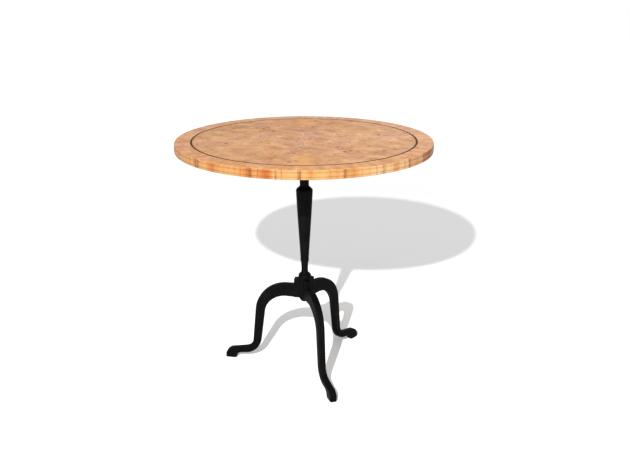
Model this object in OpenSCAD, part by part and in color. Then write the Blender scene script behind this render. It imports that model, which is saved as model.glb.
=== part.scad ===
// Round tilt top table: veneered top on a tapered iron column with three cranked legs.
// All sizes are in millimetres. +Z is up, the floor is z = 0, and the front is -Y.

/* [Overall] */
// Height from the floor to the veneer
table_h = 740; // [700:1:780]
// Diameter of the top over its moulded edge
top_d = 762; // [700:2:820]
// Thickness of the whole top
top_t = 26; // [24:1:30]
// Turn of the tripod about the column, away from the tilt axis, in degrees
tripod_turn = 18.5; // [0:0.5:30]

/* [Top] */
// Thickness of the face veneer, and of the backing veneer
veneer_t = 0.9; // [0.6:0.1:1.5]
// Width of the solid lipping round the core
lipping_w = 24; // [18:1:32]
// Distance from the edge of the top to the middle of the inlaid string
string_in = 50; // [40:1:70]
// Width of the inlaid string
string_w = 6; // [2:0.1:8]
// Depth of the inlaid string
string_depth = 2; // [1.6:0.1:3]
// Depth of the two grooves cut round the edge
groove_depth = 2.1; // [1.2:0.1:3]

/* [Tilting head] */
// Width of the head block, along the tilt axis
block_w = 150; // [130:1:170]
// Thickness of the head block
block_t = 36; // [34:1:44]
// Distance from the column to the front face of the head block
block_front = 78; // [70:1:90]
// Distance from the column back to the tilt axis
pivot_y = 70; // [60:1:80]
// Diameter of the two pivot pins
pin_d = 10; // [8:0.5:12]
// Radial clearance of each pivot pin in its bush
pin_clearance = 0.05; // [0.02:0.01:0.1]
// Outside diameter of each pivot bush
bush_d = 16; // [15:0.5:18]
// Thickness of the washers between block and bearers
washer_t = 1.5; // [1:0.1:2.5]
// Gap left between each washer and its bearer
side_gap = 0.1; // [0.05:0.05:0.5]
// Width of each bearer
bearer_w = 28; // [24:1:34]
// Depth of each bearer below the top
bearer_t = 34; // [30:1:34]
// Length of each bearer
bearer_l = 470; // [420:2:500]

/* [Slide bolt] */
// Diameter of the sliding bolt
bolt_d = 10; // [8:0.5:11]
// Radial clearance of the bolt in its keepers
bolt_clearance = 0.05; // [0.02:0.01:0.1]
// Travel of the bolt from drawn back to locked
bolt_travel = 12; // [10:0.5:13]
// Thickness of the bolt's back plate
bolt_plate_t = 2.5; // [2:0.1:3]

/* [Column] */
// Radius of the shoulder at the top of the taper
shoulder_r = 25.5; // [21:0.1:29]
// Radius of the collar at the foot of the taper
collar_r = 13; // [11.5:0.1:15]
// Radius of the neck above the shoulder
neck_r = 13.9; // [12:0.1:16]
// Diameter of the tie rod that clamps column and hub together
rod_d = 10; // [8:0.5:10]

/* [Hub and legs] */
// Radius of the hub drum
hub_r = 19.5; // [17.5:0.1:22.5]
// Height of the hub drum's lower face above the floor
hub_z = 233.3; // [228:0.1:240]
// Height of the hub drum
hub_h = 63; // [58:0.5:66]
// Width of each leg
leg_w = 21; // [17:0.5:25]
// Reach of each toe from the column's centre line
toe_r = 265; // [255:1:280]
// Depth of each leg's arm where it meets the hub
arm_depth = 42.5; // [36:0.5:44]
// Thickness of the glide under each foot
glide_t = 1; // [0.8:0.1:2.5]

/* [Hidden] */
$fn = 96;

top_r = top_d / 2;
under_z = table_h - top_t;
core_r = top_r - lipping_w;
face_z = table_h - veneer_t;
string_r = top_r - string_in;
string_in_r = string_r - string_w / 2;
string_out_r = string_r + string_w / 2;
rim_r = top_r - 1.8;

pivot_z = under_z - block_t / 2;
block_z = under_z - block_t;
round_r = block_t / 2 - 0.5;
pin_r = pin_d / 2;
bush_r = bush_d / 2;
bearer_x = block_w / 2 + washer_t + side_gap;
pin_in = 40;
screw_rows = [-170, -60, 20, 150];
screw_sink = 12;
screw_r = 2.4;

bolt_r = bolt_d / 2;
keep_t = 1.6;
bolt_z = under_z - bolt_plate_t - 2.5 - bolt_r;
bolt_nose_y = -block_front - keep_t - 3.4;
bolt_l = 67;
plate_back = bolt_nose_y - 69;
plate_front = bolt_nose_y - 3;
knob_y = bolt_nose_y - 33;
small_screw_r = 1.6;

flange_t = 6;
flange_z = block_z - flange_t;
flange_r = 48;
socket_l = 32;
flange_pcd = 72;
rod_r = rod_d / 2;
rod_bore_r = rod_r + 0.5;
rod_washer_r = 11;
nut_h = 8;
nut_r = 9.8;

hub_top = hub_z + hub_h;
arm_low = hub_z;
arm_top = hub_z + arm_depth;
cap_top = hub_top + 57.6;
taper_low = cap_top + 15;
taper_top = flange_z - 90;
clamp_t = 3;
finial_h = 10;

leg_turns = [tripod_turn - 90, tripod_turn + 30, tripod_turn + 150];
tongue_in = 10.5;
tongue_top = hub_z + 53;
shoulder_out = hub_r + 13.5;
shoulder_w = leg_w + 1.8;
shoulder_fillet = 6.5;
knee_r = 59;
knee_outer = 102;
knee_inner = 74;
ankle_r = toe_r - 63.5;
ankle_z = 74.3;
ankle_outer = 30.6;
ankle_inner = 55.6;
arm_rise = 1.2;
glide_at = toe_r - 16;
glide_r = 5.6;
arc_steps = 12;

// Direction of the point where a straight run leaves an arc to meet an opposite arc
function touch(c1, r1, c2, r2) =
    atan2(c2[1] - c1[1], c2[0] - c1[0]) + acos((r1 + r2) / norm(c2 - c1));
function on_arc(c, r, a) = [c[0] + r * cos(a), c[1] + r * sin(a)];

knee_c_outer = [knee_r, arm_top - knee_outer];
knee_c_inner = [knee_r, arm_low + arm_rise - knee_inner];
ankle_c = [ankle_r, ankle_z];
ankle_c_under = [ankle_r - 1, ankle_z + 3];
touch_outer = touch(knee_c_outer, knee_outer, ankle_c, ankle_outer);
touch_inner = touch(knee_c_inner, knee_inner, ankle_c_under, ankle_inner);

// Each station of a leg: [upper or outer point, lower or inner point, half width, edge round]
function knee_at(f) = [
    on_arc(knee_c_outer, knee_outer, 90 + f * (touch_outer - 90)),
    on_arc(knee_c_inner, knee_inner, 90 + f * (touch_inner - 90)),
    leg_w / 2, 2.5 + 2 * f];
function ankle_at(f) = [
    on_arc(ankle_c, ankle_outer, 180 + touch_outer + f * (79.5 - touch_outer)),
    on_arc(ankle_c_under, ankle_inner, 180 + touch_inner + f * (86 - touch_inner)),
    leg_w / 2 + 0.2 * f, 4.5];
pad_w = leg_w / 2 + 0.2;
stations = concat(
    [[[hub_r - 6, arm_top], [hub_r - 6, arm_low], leg_w / 2, 2.5]],
    [for (k = [0:arc_steps]) knee_at(k / arc_steps)],
    [for (k = [0:arc_steps]) ankle_at(k / arc_steps)],
    [
        [[toe_r - 56, 41.8], [toe_r - 54, 20.6], pad_w, 4.5],
        [[toe_r - 45, 39.8], [toe_r - 46, 18.8], pad_w, 4.2],
        [[toe_r - 36, 38.2], [toe_r - 40, 15.4], pad_w, 3.6],
        [[toe_r - 29, 37], [toe_r - 36.4, 8.8], pad_w, 3],
        [[toe_r - 24, 36], [toe_r - 34.2, glide_t + 1], pad_w, 2.6],
        [[toe_r - 18, 34.4], [toe_r - 29, glide_t], pad_w, 2.4],
        [[toe_r - 12, 31.6], [toe_r - 20, glide_t], pad_w, 2.4],
        [[toe_r - 6.5, 27], [toe_r - 10, glide_t], pad_w, 2.4],
        [[toe_r - 2.6, 21.2], [toe_r - 3.8, glide_t], pad_w - 0.2, 2.4],
        [[toe_r - 0.8, 16], [toe_r - 1.2, glide_t + 0.4], pad_w - 0.8, 2.4],
        [[toe_r, 12], [toe_r, glide_t + 1.6], pad_w - 2, 1.8]
    ]);

// Rounded section of one station, as points in space
function corner(cs, ct, r, a) = [cs + r * cos(a), ct + r * sin(a)];
function section_flat(w, l, r) = concat(
    [for (a = [-90, -45, 0]) corner(w - r, r, r, a)],
    [for (a = [0, 45, 90]) corner(w - r, l - r, r, a)],
    [for (a = [90, 135, 180]) corner(r - w, l - r, r, a)],
    [for (a = [180, 225, 270]) corner(r - w, r, r, a)]);
function station_points(s) =
    let (l = norm(s[0] - s[1]), d = (s[0] - s[1]) / l)
    [for (p = section_flat(s[2], l, min(s[3], l * 0.45)))
        [s[1][0] + d[0] * p[1], p[0], s[1][1] + d[1] * p[1]]];
ring_n = 12;
station_n = len(stations);
leg_points = [for (s = stations) each station_points(s)];
leg_faces = concat(
    [[for (j = [0:ring_n - 1]) j]],
    [for (k = [0:station_n - 2]) for (j = [0:ring_n - 1]) each [
        [k * ring_n + j, (k + 1) * ring_n + j, k * ring_n + (j + 1) % ring_n],
        [k * ring_n + (j + 1) % ring_n, (k + 1) * ring_n + j,
            (k + 1) * ring_n + (j + 1) % ring_n]]],
    [[for (j = [0:ring_n - 1]) station_n * ring_n - 1 - j]]);

// Radius of the tapered shaft at fraction f of its height, a slight swell near the shoulder
function shaft_r(f) = collar_r + (shoulder_r - collar_r) * (f + 0.07 * f * sin(180 * f));

// A plain disc or ring standing on z
module ring(r_out, r_in, z, h) {
    translate([0, 0, z])
        difference() {
            cylinder(r = r_out, h = h);
            if (r_in > 0)
                translate([0, 0, -1])
                    cylinder(r = r_in, h = h + 2);
        }
}

// A slotted countersunk wood screw with its head's face at the origin, pointing along +Z
module wood_screw(r, l) {
    difference() {
        union() {
            cylinder(r1 = 2 * r, r2 = r, h = r);
            cylinder(r = r, h = l - 2 * r);
            translate([0, 0, l - 2 * r])
                cylinder(r1 = r, r2 = 0.3, h = 2 * r);
        }
        translate([-3 * r, -0.3, -1])
            cube([6 * r, 0.6, 1 + 0.35 * r]);
    }
}

// The hole that the wood screw fills
module screw_hole(r, l) {
    cylinder(r1 = 2 * r, r2 = r, h = r);
    cylinder(r = r, h = l - 2 * r);
    translate([0, 0, l - 2 * r])
        cylinder(r1 = r, r2 = 0.3, h = 2 * r);
}

module at_bearer_screws() {
    for (sx = [-1, 1])
        for (y = screw_rows)
            translate([sx * (bearer_x + bearer_w / 2), y, under_z - bearer_t + screw_sink])
                children();
}

module at_plate_screws() {
    for (sx = [-17, 17])
        for (y = [plate_back + 6, plate_front - 6])
            translate([sx, y, under_z - bolt_plate_t])
                children();
}

module at_flange_screws() {
    for (a = [45:90:315])
        rotate([0, 0, a])
            translate([flange_pcd / 2, 0, flange_z])
                children();
}

module at_keep_screws() {
    for (sx = [-14, 14])
        translate([sx, -block_front - keep_t, bolt_z])
            rotate([-90, 0, 0])
                children();
}

module half_leaf(side) {
    intersection() {
        ring(string_in_r, 0, face_z, veneer_t);
        translate([side > 0 ? 0 : -top_r, -top_r, face_z - 1])
            cube([top_r, top_d, 4]);
    }
}

module veneer_leaf_left() {
    color([0.85, 0.65, 0.5])
        half_leaf(-1);
}

module veneer_leaf_right() {
    color([0.83, 0.63, 0.48])
        half_leaf(1);
}

module inlay_string() {
    color([0.2, 0.14, 0.1])
        ring(string_out_r, string_in_r, table_h - string_depth, string_depth);
}

module crossband() {
    color([0.84, 0.64, 0.49])
        ring(rim_r, string_out_r, face_z, veneer_t);
}

module top_core() {
    color([0.7, 0.55, 0.38])
        difference() {
            ring(core_r, 0, under_z + veneer_t, top_t - 2 * veneer_t);
            ring(string_out_r, string_in_r, table_h - string_depth, string_depth);
            at_bearer_screws() screw_hole(screw_r, 34);
            at_plate_screws() screw_hole(small_screw_r, 14);
        }
}

// Moulded lipping: a top band, a wide middle band and a bottom bead, parted by two grooves
module edge_band() {
    g = groove_depth;
    b = under_z;
    t = face_z;
    color([0.86, 0.6, 0.36])
        rotate_extrude()
            polygon([
                [core_r, b],
                [top_r - 2.6, b],
                [top_r - 1.2, b + 0.7],
                [top_r - 0.5, b + 2],
                [top_r - 0.5, b + 4.4],
                [top_r - 1.2, b + 5.4],
                [top_r - g, b + 5.9],
                [top_r - g, b + 7.3],
                [top_r - 0.5, b + 7.9],
                [top_r, b + 8.8],
                [top_r, t - 8.4],
                [top_r - 0.5, t - 7.5],
                [top_r - g, t - 6.9],
                [top_r - g, t - 5.5],
                [top_r - 1, t - 4.9],
                [top_r - 0.6, t - 4],
                [top_r - 0.6, t - 1.6],
                [top_r - 1, t - 0.6],
                [rim_r, t],
                [core_r, t]
            ]);
}

module backing_veneer() {
    color([0.62, 0.47, 0.32])
        difference() {
            ring(core_r, 0, under_z, veneer_t);
            at_bearer_screws() screw_hole(screw_r, 34);
            at_plate_screws() screw_hole(small_screw_r, 14);
        }
}

// A bearer with its two ends swept up, a bored seat for the bush and sunk screw holes
module bearer(side) {
    h = bearer_l / 2;
    difference() {
        translate([side > 0 ? bearer_x : -bearer_x - bearer_w, 0, 0])
            rotate([90, 0, 90])
                linear_extrude(height = bearer_w)
                    difference() {
                        translate([-h, under_z - bearer_t])
                            square([bearer_l, bearer_t]);
                        for (s = [-1, 1])
                            translate([s * h, under_z - bearer_t - 22])
                                scale([1.6, 1])
                                    circle(r = 42);
                    }
        translate([side * (bearer_x - 1), pivot_y, pivot_z])
            rotate([0, side * 90, 0])
                cylinder(r = bush_r, h = bearer_w + 2);
        at_bearer_screws() screw_hole(screw_r, 34);
        at_bearer_screws()
            translate([0, 0, -screw_sink - 1])
                cylinder(r = 2 * screw_r + 1.4, h = screw_sink + 1);
    }
}

module bearer_left() {
    color([0.45, 0.3, 0.18])
        bearer(-1);
}

module bearer_right() {
    color([0.45, 0.3, 0.18])
        bearer(1);
}

module bearer_screws() {
    color([0.75, 0.62, 0.3])
        at_bearer_screws() wood_screw(screw_r, 34);
}

module pivot_bushes() {
    color([0.78, 0.62, 0.28])
        for (side = [-1, 1])
            translate([side * bearer_x, pivot_y, pivot_z])
                rotate([0, side * 90, 0])
                    difference() {
                        cylinder(r = bush_r, h = bearer_w);
                        translate([0, 0, -1])
                            cylinder(r = pin_r + pin_clearance, h = bearer_w + 2);
                    }
}

module pivot_pins() {
    color([0.6, 0.6, 0.62])
        for (side = [-1, 1])
            translate([side * (block_w / 2 - pin_in), pivot_y, pivot_z])
                rotate([0, side * 90, 0])
                    cylinder(r = pin_r, h = pin_in + bearer_x - block_w / 2 + bearer_w - 1);
}

module pivot_washers() {
    color([0.78, 0.62, 0.28])
        for (side = [-1, 1])
            translate([side * block_w / 2, pivot_y, pivot_z])
                rotate([0, side * 90, 0])
                    difference() {
                        cylinder(r = pin_r + 6, h = washer_t);
                        translate([0, 0, -1])
                            cylinder(r = pin_r, h = washer_t + 2);
                    }
}

module bolt_plate() {
    color([0.8, 0.65, 0.3])
        difference() {
            translate([-24, plate_back, under_z - bolt_plate_t])
                cube([48, plate_front - plate_back, bolt_plate_t]);
            at_plate_screws() screw_hole(small_screw_r, 14);
        }
}

// Two bored blocks that carry the sliding bolt
module bolt_keepers() {
    z0 = bolt_z - bolt_r - 3;
    color([0.8, 0.65, 0.3])
        difference() {
            for (y = [plate_back + 2, plate_front - 12])
                translate([-bolt_r - 4, y, z0])
                    cube([bolt_d + 8, 10, under_z - bolt_plate_t - z0]);
            translate([0, plate_back - 5, bolt_z])
                rotate([-90, 0, 0])
                    cylinder(r = bolt_r + bolt_clearance, h = plate_front - plate_back + 10);
        }
}

module bolt_plate_screws() {
    color([0.75, 0.62, 0.3])
        at_plate_screws() wood_screw(small_screw_r, 14);
}

module slide_bolt() {
    color([0.72, 0.72, 0.74])
        union() {
            translate([0, bolt_nose_y - bolt_l, bolt_z])
                rotate([-90, 0, 0]) {
                    cylinder(r = bolt_r, h = bolt_l - 1);
                    translate([0, 0, bolt_l - 1])
                        cylinder(r1 = bolt_r, r2 = bolt_r - 1, h = 1);
                }
            translate([0, knob_y, bolt_z - bolt_r - 13])
                cylinder(r = 2.5, h = 14);
        }
}

module bolt_knob() {
    z0 = bolt_z - bolt_r - 17;
    color([0.8, 0.65, 0.3])
        translate([0, knob_y, z0])
            rotate_extrude()
                polygon([[0, 0], [3.4, 0.2], [6, 1.6], [7, 4], [6.4, 6.6], [4.2, 8.8], [3.8, 11],
                    [4.6, 12.6], [2.5, 12.6], [2.5, 4], [0, 4]]);
}

module keep_plate() {
    color([0.8, 0.65, 0.3])
        difference() {
            translate([-20, -block_front - keep_t, bolt_z - 10])
                cube([40, keep_t, 19]);
            translate([0, -block_front - keep_t - 1, bolt_z])
                rotate([-90, 0, 0])
                    cylinder(r = bolt_r + 0.4, h = keep_t + 2);
            at_keep_screws() screw_hole(small_screw_r, 14);
        }
}

module keep_screws() {
    color([0.75, 0.62, 0.3])
        at_keep_screws() wood_screw(small_screw_r, 14);
}

// Block on the column: its upper back edge is rounded about the tilt axis
module head_block() {
    color([0.4, 0.26, 0.15])
        difference() {
            union() {
                translate([-block_w / 2, -block_front, block_z])
                    cube([block_w, block_front + pivot_y, block_t]);
                translate([-block_w / 2, pivot_y - 1, block_z])
                    cube([block_w, block_t / 2 + 0.8, block_t / 2]);
                translate([-block_w / 2, pivot_y, pivot_z])
                    rotate([0, 90, 0])
                        cylinder(r = round_r, h = block_w);
            }
            for (side = [-1, 1])
                translate([side * (block_w / 2 - pin_in), pivot_y, pivot_z])
                    rotate([0, side * 90, 0])
                        cylinder(r = pin_r, h = pin_in + 1);
            translate([0, 0, block_z - 1])
                cylinder(r = rod_washer_r + 4, h = 21);
            translate([0, -block_front - 1, bolt_z])
                rotate([-90, 0, 0])
                    cylinder(r = bolt_r + 0.8, h = bolt_travel + 3);
            at_keep_screws() screw_hole(small_screw_r, 14);
            at_flange_screws() screw_hole(screw_r, 26);
        }
}

module head_flange() {
    color([0.1, 0.1, 0.1])
        difference() {
            ring(flange_r, rod_bore_r, flange_z, flange_t);
            at_flange_screws() screw_hole(screw_r, 26);
        }
}

// Tapered socket under the flange, slipped over the column's neck
module head_socket() {
    color([0.1, 0.1, 0.1])
        translate([0, 0, flange_z - socket_l])
            difference() {
                cylinder(r1 = neck_r + 6, r2 = neck_r + 10, h = socket_l);
                translate([0, 0, -1])
                    cylinder(r = neck_r, h = socket_l + 2);
            }
}

module flange_screws() {
    color([0.3, 0.3, 0.3])
        at_flange_screws() wood_screw(screw_r, 26);
}

// Shaft: small collar, long taper swelling upwards, rounded shoulder, plain neck
module column_shaft() {
    steps = 16;
    th = taper_top - taper_low;
    s = shoulder_r;
    n = neck_r;
    color([0.09, 0.09, 0.09])
        rotate_extrude()
            polygon(concat(
                [[rod_bore_r, cap_top], [collar_r - 1.8, cap_top], [collar_r - 0.4, cap_top + 1],
                    [collar_r, cap_top + 2.6]],
                [for (k = [0:steps]) [shaft_r(k / steps), taper_low + th * k / steps]],
                [[s - 0.4, taper_top + 3], [s - 1.4, taper_top + 5.2], [s - 3, taper_top + 7.2],
                    [s - 5.8, taper_top + 9.4], [n + 2.8, taper_top + 12.2],
                    [n + 1.2, taper_top + 14.6], [n + 0.3, taper_top + 17], [n, taper_top + 19],
                    [n, flange_z], [rod_bore_r, flange_z]]));
}

// Domed cap on the hub, drawn up into a slim neck under the shaft
module hub_cap() {
    z = hub_top;
    color([0.09, 0.09, 0.09])
        rotate_extrude()
            polygon([
                [rod_bore_r, z], [19, z], [19.9, z + 0.8], [20.2, z + 3], [20.2, z + 8],
                [20, z + 10.8], [19.6, z + 13], [18.6, z + 15.6], [16.4, z + 17.8],
                [13.6, z + 19.6], [11.9, z + 21.4], [11, z + 24], [10.5, z + 27.6],
                [10.3, z + 33], [10.4, z + 40], [10.8, z + 47], [11.2, z + 53], [11.6, cap_top],
                [rod_bore_r, cap_top]
            ]);
}

// Dovetail on the inner end of a leg, and the slot for it in the hub
module tongue(extra) {
    translate([0, 0, hub_z - extra])
        linear_extrude(height = tongue_top - hub_z + extra)
            polygon([[tongue_in, -5], [hub_r + 1.5, -3.2], [hub_r + 1.5, 3.2], [tongue_in, 5]]);
}

module hub() {
    color([0.09, 0.09, 0.09])
        difference() {
            ring(hub_r, rod_bore_r, hub_z, hub_h);
            for (a = leg_turns)
                rotate([0, 0, a])
                    tongue(2);
        }
}

module clamp_plate() {
    color([0.12, 0.12, 0.12])
        ring(hub_r - 2.2, rod_bore_r, hub_z - clamp_t, clamp_t);
}

// Domed nut under the hub, threaded on the lower end of the tie rod
module finial_nut() {
    z = hub_z - clamp_t - finial_h;
    color([0.09, 0.09, 0.09])
        rotate_extrude()
            polygon([[0, z], [6, z + 0.2], [10.6, z + 1.2], [13.6, z + 3.2], [15.4, z + 6],
                [15.9, z + 8], [15.6, z + finial_h],
                [rod_r, z + finial_h], [rod_r, z + 4], [0, z + 4]]);
}

module tie_rod() {
    z0 = hub_z - clamp_t - finial_h + 4;
    color([0.5, 0.5, 0.52])
        translate([0, 0, z0])
            cylinder(r = rod_r, h = block_z + 2 + nut_h + 3 - z0);
}

module rod_washer() {
    color([0.55, 0.55, 0.57])
        ring(rod_washer_r, rod_r, block_z, 2);
}

module rod_nut() {
    color([0.5, 0.5, 0.52])
        translate([0, 0, block_z + 2])
            difference() {
                cylinder(r = nut_r, h = nut_h, $fn = 6);
                translate([0, 0, -1])
                    cylinder(r = rod_r, h = nut_h + 2);
            }
}

// Hollow corner of radius r between a face at x and a face at z, with a strip sunk into each
module fillet_outline(x, z, r) {
    polygon(concat(
        [[x - 2, z - 3], [x + r, z - 3]],
        [for (a = [0:15:90]) [x + r - r * sin(a), z + r - r * cos(a)]],
        [[x - 2, z + r]]));
}

// Cranked leg lying along +X: dovetail, shoulder, arm, knee, shank, ankle and foot
module leg() {
    union() {
        difference() {
            union() {
                polyhedron(points = leg_points, faces = leg_faces, convexity = 6);
                translate([hub_r - 6, -shoulder_w / 2, hub_z])
                    cube([shoulder_out - hub_r + 6, shoulder_w, hub_h]);
                rotate([90, 0, 0])
                    linear_extrude(height = leg_w - 4, center = true)
                        fillet_outline(shoulder_out, arm_top, shoulder_fillet);
            }
            translate([0, 0, hub_z - 5])
                cylinder(r = hub_r, h = hub_h + 10);
            translate([glide_at, 0, -1])
                cylinder(r = 1.8, h = glide_t + 9);
        }
        intersection() {
            tongue(0);
            translate([0, 0, hub_z - 1])
                cylinder(r = hub_r + 1.2, h = hub_h);
        }
    }
}

module leg_front() {
    color([0.09, 0.09, 0.09])
        rotate([0, 0, leg_turns[0]])
            leg();
}

module leg_right() {
    color([0.09, 0.09, 0.09])
        rotate([0, 0, leg_turns[1]])
            leg();
}

module leg_left() {
    color([0.09, 0.09, 0.09])
        rotate([0, 0, leg_turns[2]])
            leg();
}

// A disc with a pressed pin under each foot
module foot_glides() {
    color([0.3, 0.3, 0.3])
        for (a = leg_turns)
            rotate([0, 0, a])
                translate([glide_at, 0, 0]) {
                    cylinder(r = glide_r, h = glide_t);
                    cylinder(r = 1.8, h = glide_t + 8);
                }
}

veneer_leaf_left();
veneer_leaf_right();
inlay_string();
crossband();
top_core();
edge_band();
backing_veneer();
bearer_left();
bearer_right();
bearer_screws();
pivot_bushes();
bolt_plate();
bolt_keepers();
bolt_plate_screws();
slide_bolt();
bolt_knob();
keep_plate();
keep_screws();
head_block();
pivot_pins();
pivot_washers();
head_flange();
head_socket();
flange_screws();
column_shaft();
hub_cap();
hub();
clamp_plate();
finial_nut();
tie_rod();
rod_washer();
rod_nut();
leg_front();
leg_right();
leg_left();
foot_glides();
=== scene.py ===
import math

import bmesh
import bpy
from mathutils import Matrix, Vector
from mathutils.geometry import interpolate_bezier


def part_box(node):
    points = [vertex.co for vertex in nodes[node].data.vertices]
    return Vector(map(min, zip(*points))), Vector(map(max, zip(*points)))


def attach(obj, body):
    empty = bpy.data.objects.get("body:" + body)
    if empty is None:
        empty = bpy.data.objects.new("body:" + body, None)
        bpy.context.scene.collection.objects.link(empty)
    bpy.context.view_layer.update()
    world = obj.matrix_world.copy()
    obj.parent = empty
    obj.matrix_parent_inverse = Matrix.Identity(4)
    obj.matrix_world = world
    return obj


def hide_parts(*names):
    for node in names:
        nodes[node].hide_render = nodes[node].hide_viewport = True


# Round tilt top table: finishes and finer shapes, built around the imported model.

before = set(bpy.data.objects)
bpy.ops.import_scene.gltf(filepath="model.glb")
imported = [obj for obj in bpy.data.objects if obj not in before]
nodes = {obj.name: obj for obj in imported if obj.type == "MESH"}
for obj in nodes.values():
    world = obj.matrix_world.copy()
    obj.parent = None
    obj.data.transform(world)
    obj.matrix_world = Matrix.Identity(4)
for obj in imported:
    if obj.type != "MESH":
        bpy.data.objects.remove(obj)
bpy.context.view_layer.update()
print("frame loaded:", len(nodes), "nodes")


def low(node):
    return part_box(node)[0]


def high(node):
    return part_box(node)[1]


# ---------- node helpers ----------

def addNode(tree, kind, **settings):
    node = tree.nodes.new(kind)
    for name, value in settings.items():
        setattr(node, name, value)
    return node


def feed(tree, socket, value):
    # a socket is linked, anything else is set as the input's own value
    if isinstance(value, bpy.types.NodeSocket):
        tree.links.new(value, socket)
    else:
        socket.default_value = value


def srgb(red, green, blue, dim=1.0):
    # colour given as it looks on a screen, 0 to 255, dimmed by the light that will fall on it
    def linear(level):
        level /= 255
        return level / 12.92 if level <= 0.04045 else ((level + 0.055) / 1.055) ** 2.4
    return (linear(red) * dim, linear(green) * dim, linear(blue) * dim, 1)


def pointParts(tree):
    # the point on the object, split into X, Y and Z
    where = addNode(tree, "ShaderNodeTexCoord")
    parts = addNode(tree, "ShaderNodeSeparateXYZ")
    tree.links.new(where.outputs["Object"], parts.inputs[0])
    return parts.outputs


def place(tree, turn=(0, 0, 0), shift=(0, 0, 0), scale=(1, 1, 1)):
    where = addNode(tree, "ShaderNodeTexCoord")
    mapping = addNode(tree, "ShaderNodeMapping")
    tree.links.new(where.outputs["Object"], mapping.inputs["Vector"])
    mapping.inputs["Location"].default_value = shift
    mapping.inputs["Rotation"].default_value = turn
    mapping.inputs["Scale"].default_value = scale
    return mapping.outputs["Vector"]


def noise(tree, at, scale, detail=3, rough=0.5, distort=0, output="Fac"):
    node = addNode(tree, "ShaderNodeTexNoise")
    feed(tree, node.inputs["Vector"], at)
    node.inputs["Scale"].default_value = scale
    node.inputs["Detail"].default_value = detail
    node.inputs["Roughness"].default_value = rough
    node.inputs["Distortion"].default_value = distort
    return node.outputs[output]


def maths(tree, operation, first, second=0.0, third=0.0, clamp=False):
    node = addNode(tree, "ShaderNodeMath", operation=operation, use_clamp=clamp)
    for socket, value in zip(node.inputs, (first, second, third)):
        feed(tree, socket, value)
    return node.outputs["Value"]


def vectorMaths(tree, operation, first, second=None, scale=None):
    node = addNode(tree, "ShaderNodeVectorMath", operation=operation)
    feed(tree, node.inputs[0], first)
    if second is not None:
        feed(tree, node.inputs[1], second)
    if scale is not None:
        feed(tree, node.inputs["Scale"], scale)
    return node.outputs["Vector"]


def spread(tree, value, fromLow, fromHigh, toLow=0.0, toHigh=1.0):
    node = addNode(tree, "ShaderNodeMapRange", interpolation_type="SMOOTHSTEP")
    feed(tree, node.inputs["Value"], value)
    node.inputs["From Min"].default_value = fromLow
    node.inputs["From Max"].default_value = fromHigh
    node.inputs["To Min"].default_value = toLow
    node.inputs["To Max"].default_value = toHigh
    return node.outputs["Result"]


def ramp(tree, fac, stops):
    node = addNode(tree, "ShaderNodeValToRGB")
    band = node.color_ramp
    while len(band.elements) < len(stops):
        band.elements.new(0.5)
    for element, (where, colour) in zip(band.elements, stops):
        element.position = where
        element.color = colour
    feed(tree, node.inputs["Fac"], fac)
    return node.outputs["Color"]


def blendColour(tree, fac, under, over, mode="MIX"):
    node = addNode(tree, "ShaderNodeMix", data_type="RGBA", blend_type=mode)
    feed(tree, node.inputs["Factor"], fac)
    feed(tree, node.inputs[6], under)
    feed(tree, node.inputs[7], over)
    return node.outputs[2]


def startMaterial(name, roughness, specular=0.5, metallic=0.0, coat=0.0, coatRoughness=0.1):
    material = bpy.data.materials.new(name)
    material.use_nodes = True
    tree = material.node_tree
    surface = tree.nodes["Principled BSDF"]
    surface.inputs["Roughness"].default_value = roughness
    surface.inputs["Specular IOR Level"].default_value = specular
    surface.inputs["Metallic"].default_value = metallic
    surface.inputs["Coat Weight"].default_value = coat
    surface.inputs["Coat Roughness"].default_value = coatRoughness
    return material, tree, surface


def bump(tree, surface, height, strength, distance):
    node = addNode(tree, "ShaderNodeBump")
    node.inputs["Strength"].default_value = strength
    node.inputs["Distance"].default_value = distance
    feed(tree, node.inputs["Height"], height)
    tree.links.new(node.outputs["Normal"], surface.inputs["Normal"])


def paint(name, material):
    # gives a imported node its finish
    for materialSlot in nodes[name].material_slots:
        materialSlot.material = material


# ---------- finishes ----------

# how much the colours are dimmed on the lit top and on its rim, so that they look as they are given
flatDim = 0.47
rimDim = 0.228

burl = {
    "shade": srgb(182, 126, 84, flatDim), "tan": srgb(204, 150, 106, flatDim),
    "gold": srgb(221, 169, 121, flatDim), "salmon": srgb(231, 179, 138, flatDim),
    "pale": srgb(244, 200, 162, flatDim), "pink": srgb(214, 160, 138, flatDim),
    "orange": srgb(222, 146, 84, flatDim), "line": srgb(150, 96, 64, flatDim),
    "smudge": srgb(160, 112, 102, flatDim), "seam": srgb(228, 170, 106, flatDim),
    "eye": srgb(116, 70, 44, flatDim),
    # across and along are painted light and shade: tints that leave the top darker on its left, lighter on
    # its right, and darker towards its front and back edges
    "across": [(0.15, (0.93, 0.91, 0.81, 1)), (0.41, (1.04, 1, 0.94, 1)), (0.59, (1.07, 1.05, 1.02, 1)),
               (0.85, (1.08, 1.11, 1.1, 1))],
    "along": [(0.2, (0.89, 0.86, 0.78, 1)), (0.38, (0.92, 0.89, 0.82, 1)), (0.47, (1, 1, 1, 1)),
              (0.55, (1, 1, 1, 1)), (0.66, (0.93, 0.89, 0.81, 1)), (0.85, (0.97, 0.93, 0.82, 1))],
    "patch": 21, "warp": 0.09, "curlScale": 13, "curls": 34, "eyeScale": 36,
}


def paintedLightDrift(tree, colour, axis, stops):
    # painted light and shade: multiplies a colour by tints that change from one side of the top to the
    # other, standing in for how the lamp falls on it; axis is X or Y
    across = maths(tree, "MULTIPLY_ADD", pointParts(tree)[axis], 1.3, 0.5)
    return blendColour(tree, 1.0, colour, ramp(tree, across, stops), "MULTIPLY")


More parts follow.
